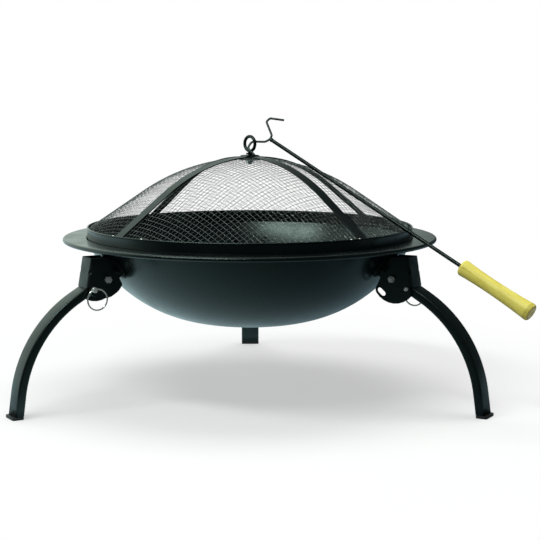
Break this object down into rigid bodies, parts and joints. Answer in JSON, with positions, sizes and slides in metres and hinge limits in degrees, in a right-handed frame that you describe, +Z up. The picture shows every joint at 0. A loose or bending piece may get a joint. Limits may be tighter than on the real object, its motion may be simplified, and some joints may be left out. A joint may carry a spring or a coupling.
{
  "type": "fire pit",
  "caption": "Round steel fire bowl on folding legs held by ring pins, with a lift-off domed mesh spark screen and a wooden-handled poker hooked in its eye.",
  "frame": {"origin": "centre of the whole fire pit's bounding box, on the ground under the feet", "axes": "+Z up; -Y is the front, the side of the picture; +X is to the right, towards the poker's handle"},
  "size_m": [0.7286, 0.6684, 0.4128],
  "materials": {
    "black_paint": "satin black heat-proof paint",
    "black_wire": "gloss black on wire",
    "black_fastener": "black, painted with the bowl",
    "black_plastic": "moulded black",
    "zinc_plate": "bright zinc plate",
    "bright_steel": "nickel plated spring wire",
    "turned_wood": "smooth, clear coated"
  },
  "bodies": {
    "fire_bowl": {"bowl": "black_paint", "bracket_left": "black_paint", "bowl_bolt_left_a": "black_fastener", "bowl_bolt_left_b": "black_fastener", "bowl_nut_left_a": "black_fastener", "bowl_nut_left_b": "black_fastener", "pivot_bolt_left": "zinc_plate", "pivot_nut_left": "zinc_plate", "bracket_right": "black_paint", "bowl_bolt_right_a": "black_fastener", "bowl_bolt_right_b": "black_fastener", "bowl_nut_right_a": "black_fastener", "bowl_nut_right_b": "black_fastener", "pivot_bolt_right": "zinc_plate", "pivot_nut_right": "zinc_plate", "bracket_rear": "black_paint", "bowl_bolt_rear_a": "black_fastener", "bowl_bolt_rear_b": "black_fastener", "bowl_nut_rear_a": "black_fastener", "bowl_nut_rear_b": "black_fastener", "pivot_bolt_rear": "zinc_plate", "pivot_nut_rear": "zinc_plate"},
    "left_leg": {"leg_left": "black_paint", "foot_cap_left": "black_plastic"},
    "left_pin": {"pull_pin_left": "zinc_plate"},
    "left_ring": {"pull_ring_left": "bright_steel"},
    "right_leg": {"leg_right": "black_paint", "foot_cap_right": "black_plastic"},
    "right_pin": {"pull_pin_right": "zinc_plate"},
    "right_ring": {"pull_ring_right": "bright_steel"},
    "rear_leg": {"leg_rear": "black_paint", "foot_cap_rear": "black_plastic"},
    "rear_pin": {"pull_pin_rear": "zinc_plate"},
    "rear_ring": {"pull_ring_rear": "bright_steel"},
    "lid": {"lid_band": "black_paint", "spark_screen": "black_wire", "strap_lower": "black_paint", "strap_upper": "black_paint", "eye_bolt": "black_wire", "eye_nut": "black_wire", "eye_washer": "black_wire", "eye_lock_nut": "zinc_plate"},
    "poker": {"poker_rod": "black_wire", "poker_fork": "black_wire", "poker_handle": "turned_wood"}
  },
  "joints": [
    {"name": "fold_left", "type": "hinge", "parent": "fire_bowl", "child": "left_leg", "pos_m": [-0.23191, -0.17575, 0.188], "axis": [0.5, -0.866, 0], "range_deg": [0, 100]},
    {"name": "draw_left", "type": "slide", "parent": "fire_bowl", "child": "left_pin", "axis": [0.5, -0.866, 0], "range_m": [0, 0.042]},
    {"name": "swing_left", "type": "hinge", "parent": "left_pin", "child": "left_ring", "pos_m": [-0.24046, -0.20511, 0.17525], "axis": [-0.8304, -0.4794, -0.284], "range_deg": [0, 95]},
    {"name": "fold_right", "type": "hinge", "parent": "fire_bowl", "child": "right_leg", "pos_m": [0.18903, -0.17575, 0.188], "axis": [0.5, 0.866, 0], "range_deg": [0, 100]},
    {"name": "draw_right", "type": "slide", "parent": "fire_bowl", "child": "right_pin", "axis": [0.5, 0.866, 0], "range_m": [0, 0.042]},
    {"name": "swing_right", "type": "hinge", "parent": "right_pin", "child": "right_ring", "pos_m": [0.21873, -0.16847, 0.17525], "axis": [0.8304, -0.4794, -0.284], "range_deg": [0, 95]},
    {"name": "fold_rear", "type": "hinge", "parent": "fire_bowl", "child": "rear_leg", "pos_m": [-0.02144, 0.1888, 0.188], "axis": [-1, 0, 0], "range_deg": [0, 100]},
    {"name": "draw_rear", "type": "slide", "parent": "fire_bowl", "child": "rear_pin", "axis": [-1, 0, 0], "range_m": [0, 0.042]},
    {"name": "swing_rear", "type": "hinge", "parent": "rear_pin", "child": "rear_ring", "pos_m": [-0.04259, 0.21088, 0.17525], "axis": [0, 0.9588, -0.284], "range_deg": [0, 95]},
    {"name": "lid_lift", "type": "slide", "parent": "fire_bowl", "child": "lid", "axis": [0, 0, 1], "range_m": [0, 0.3]},
    {"name": "poker_swing", "type": "hinge", "parent": "lid", "child": "poker", "pos_m": [-0.01543, -0.06176, 0.36939], "axis": [-0.2552, -0.8209, 0.5108], "range_deg": [0, 75]}
  ]
}
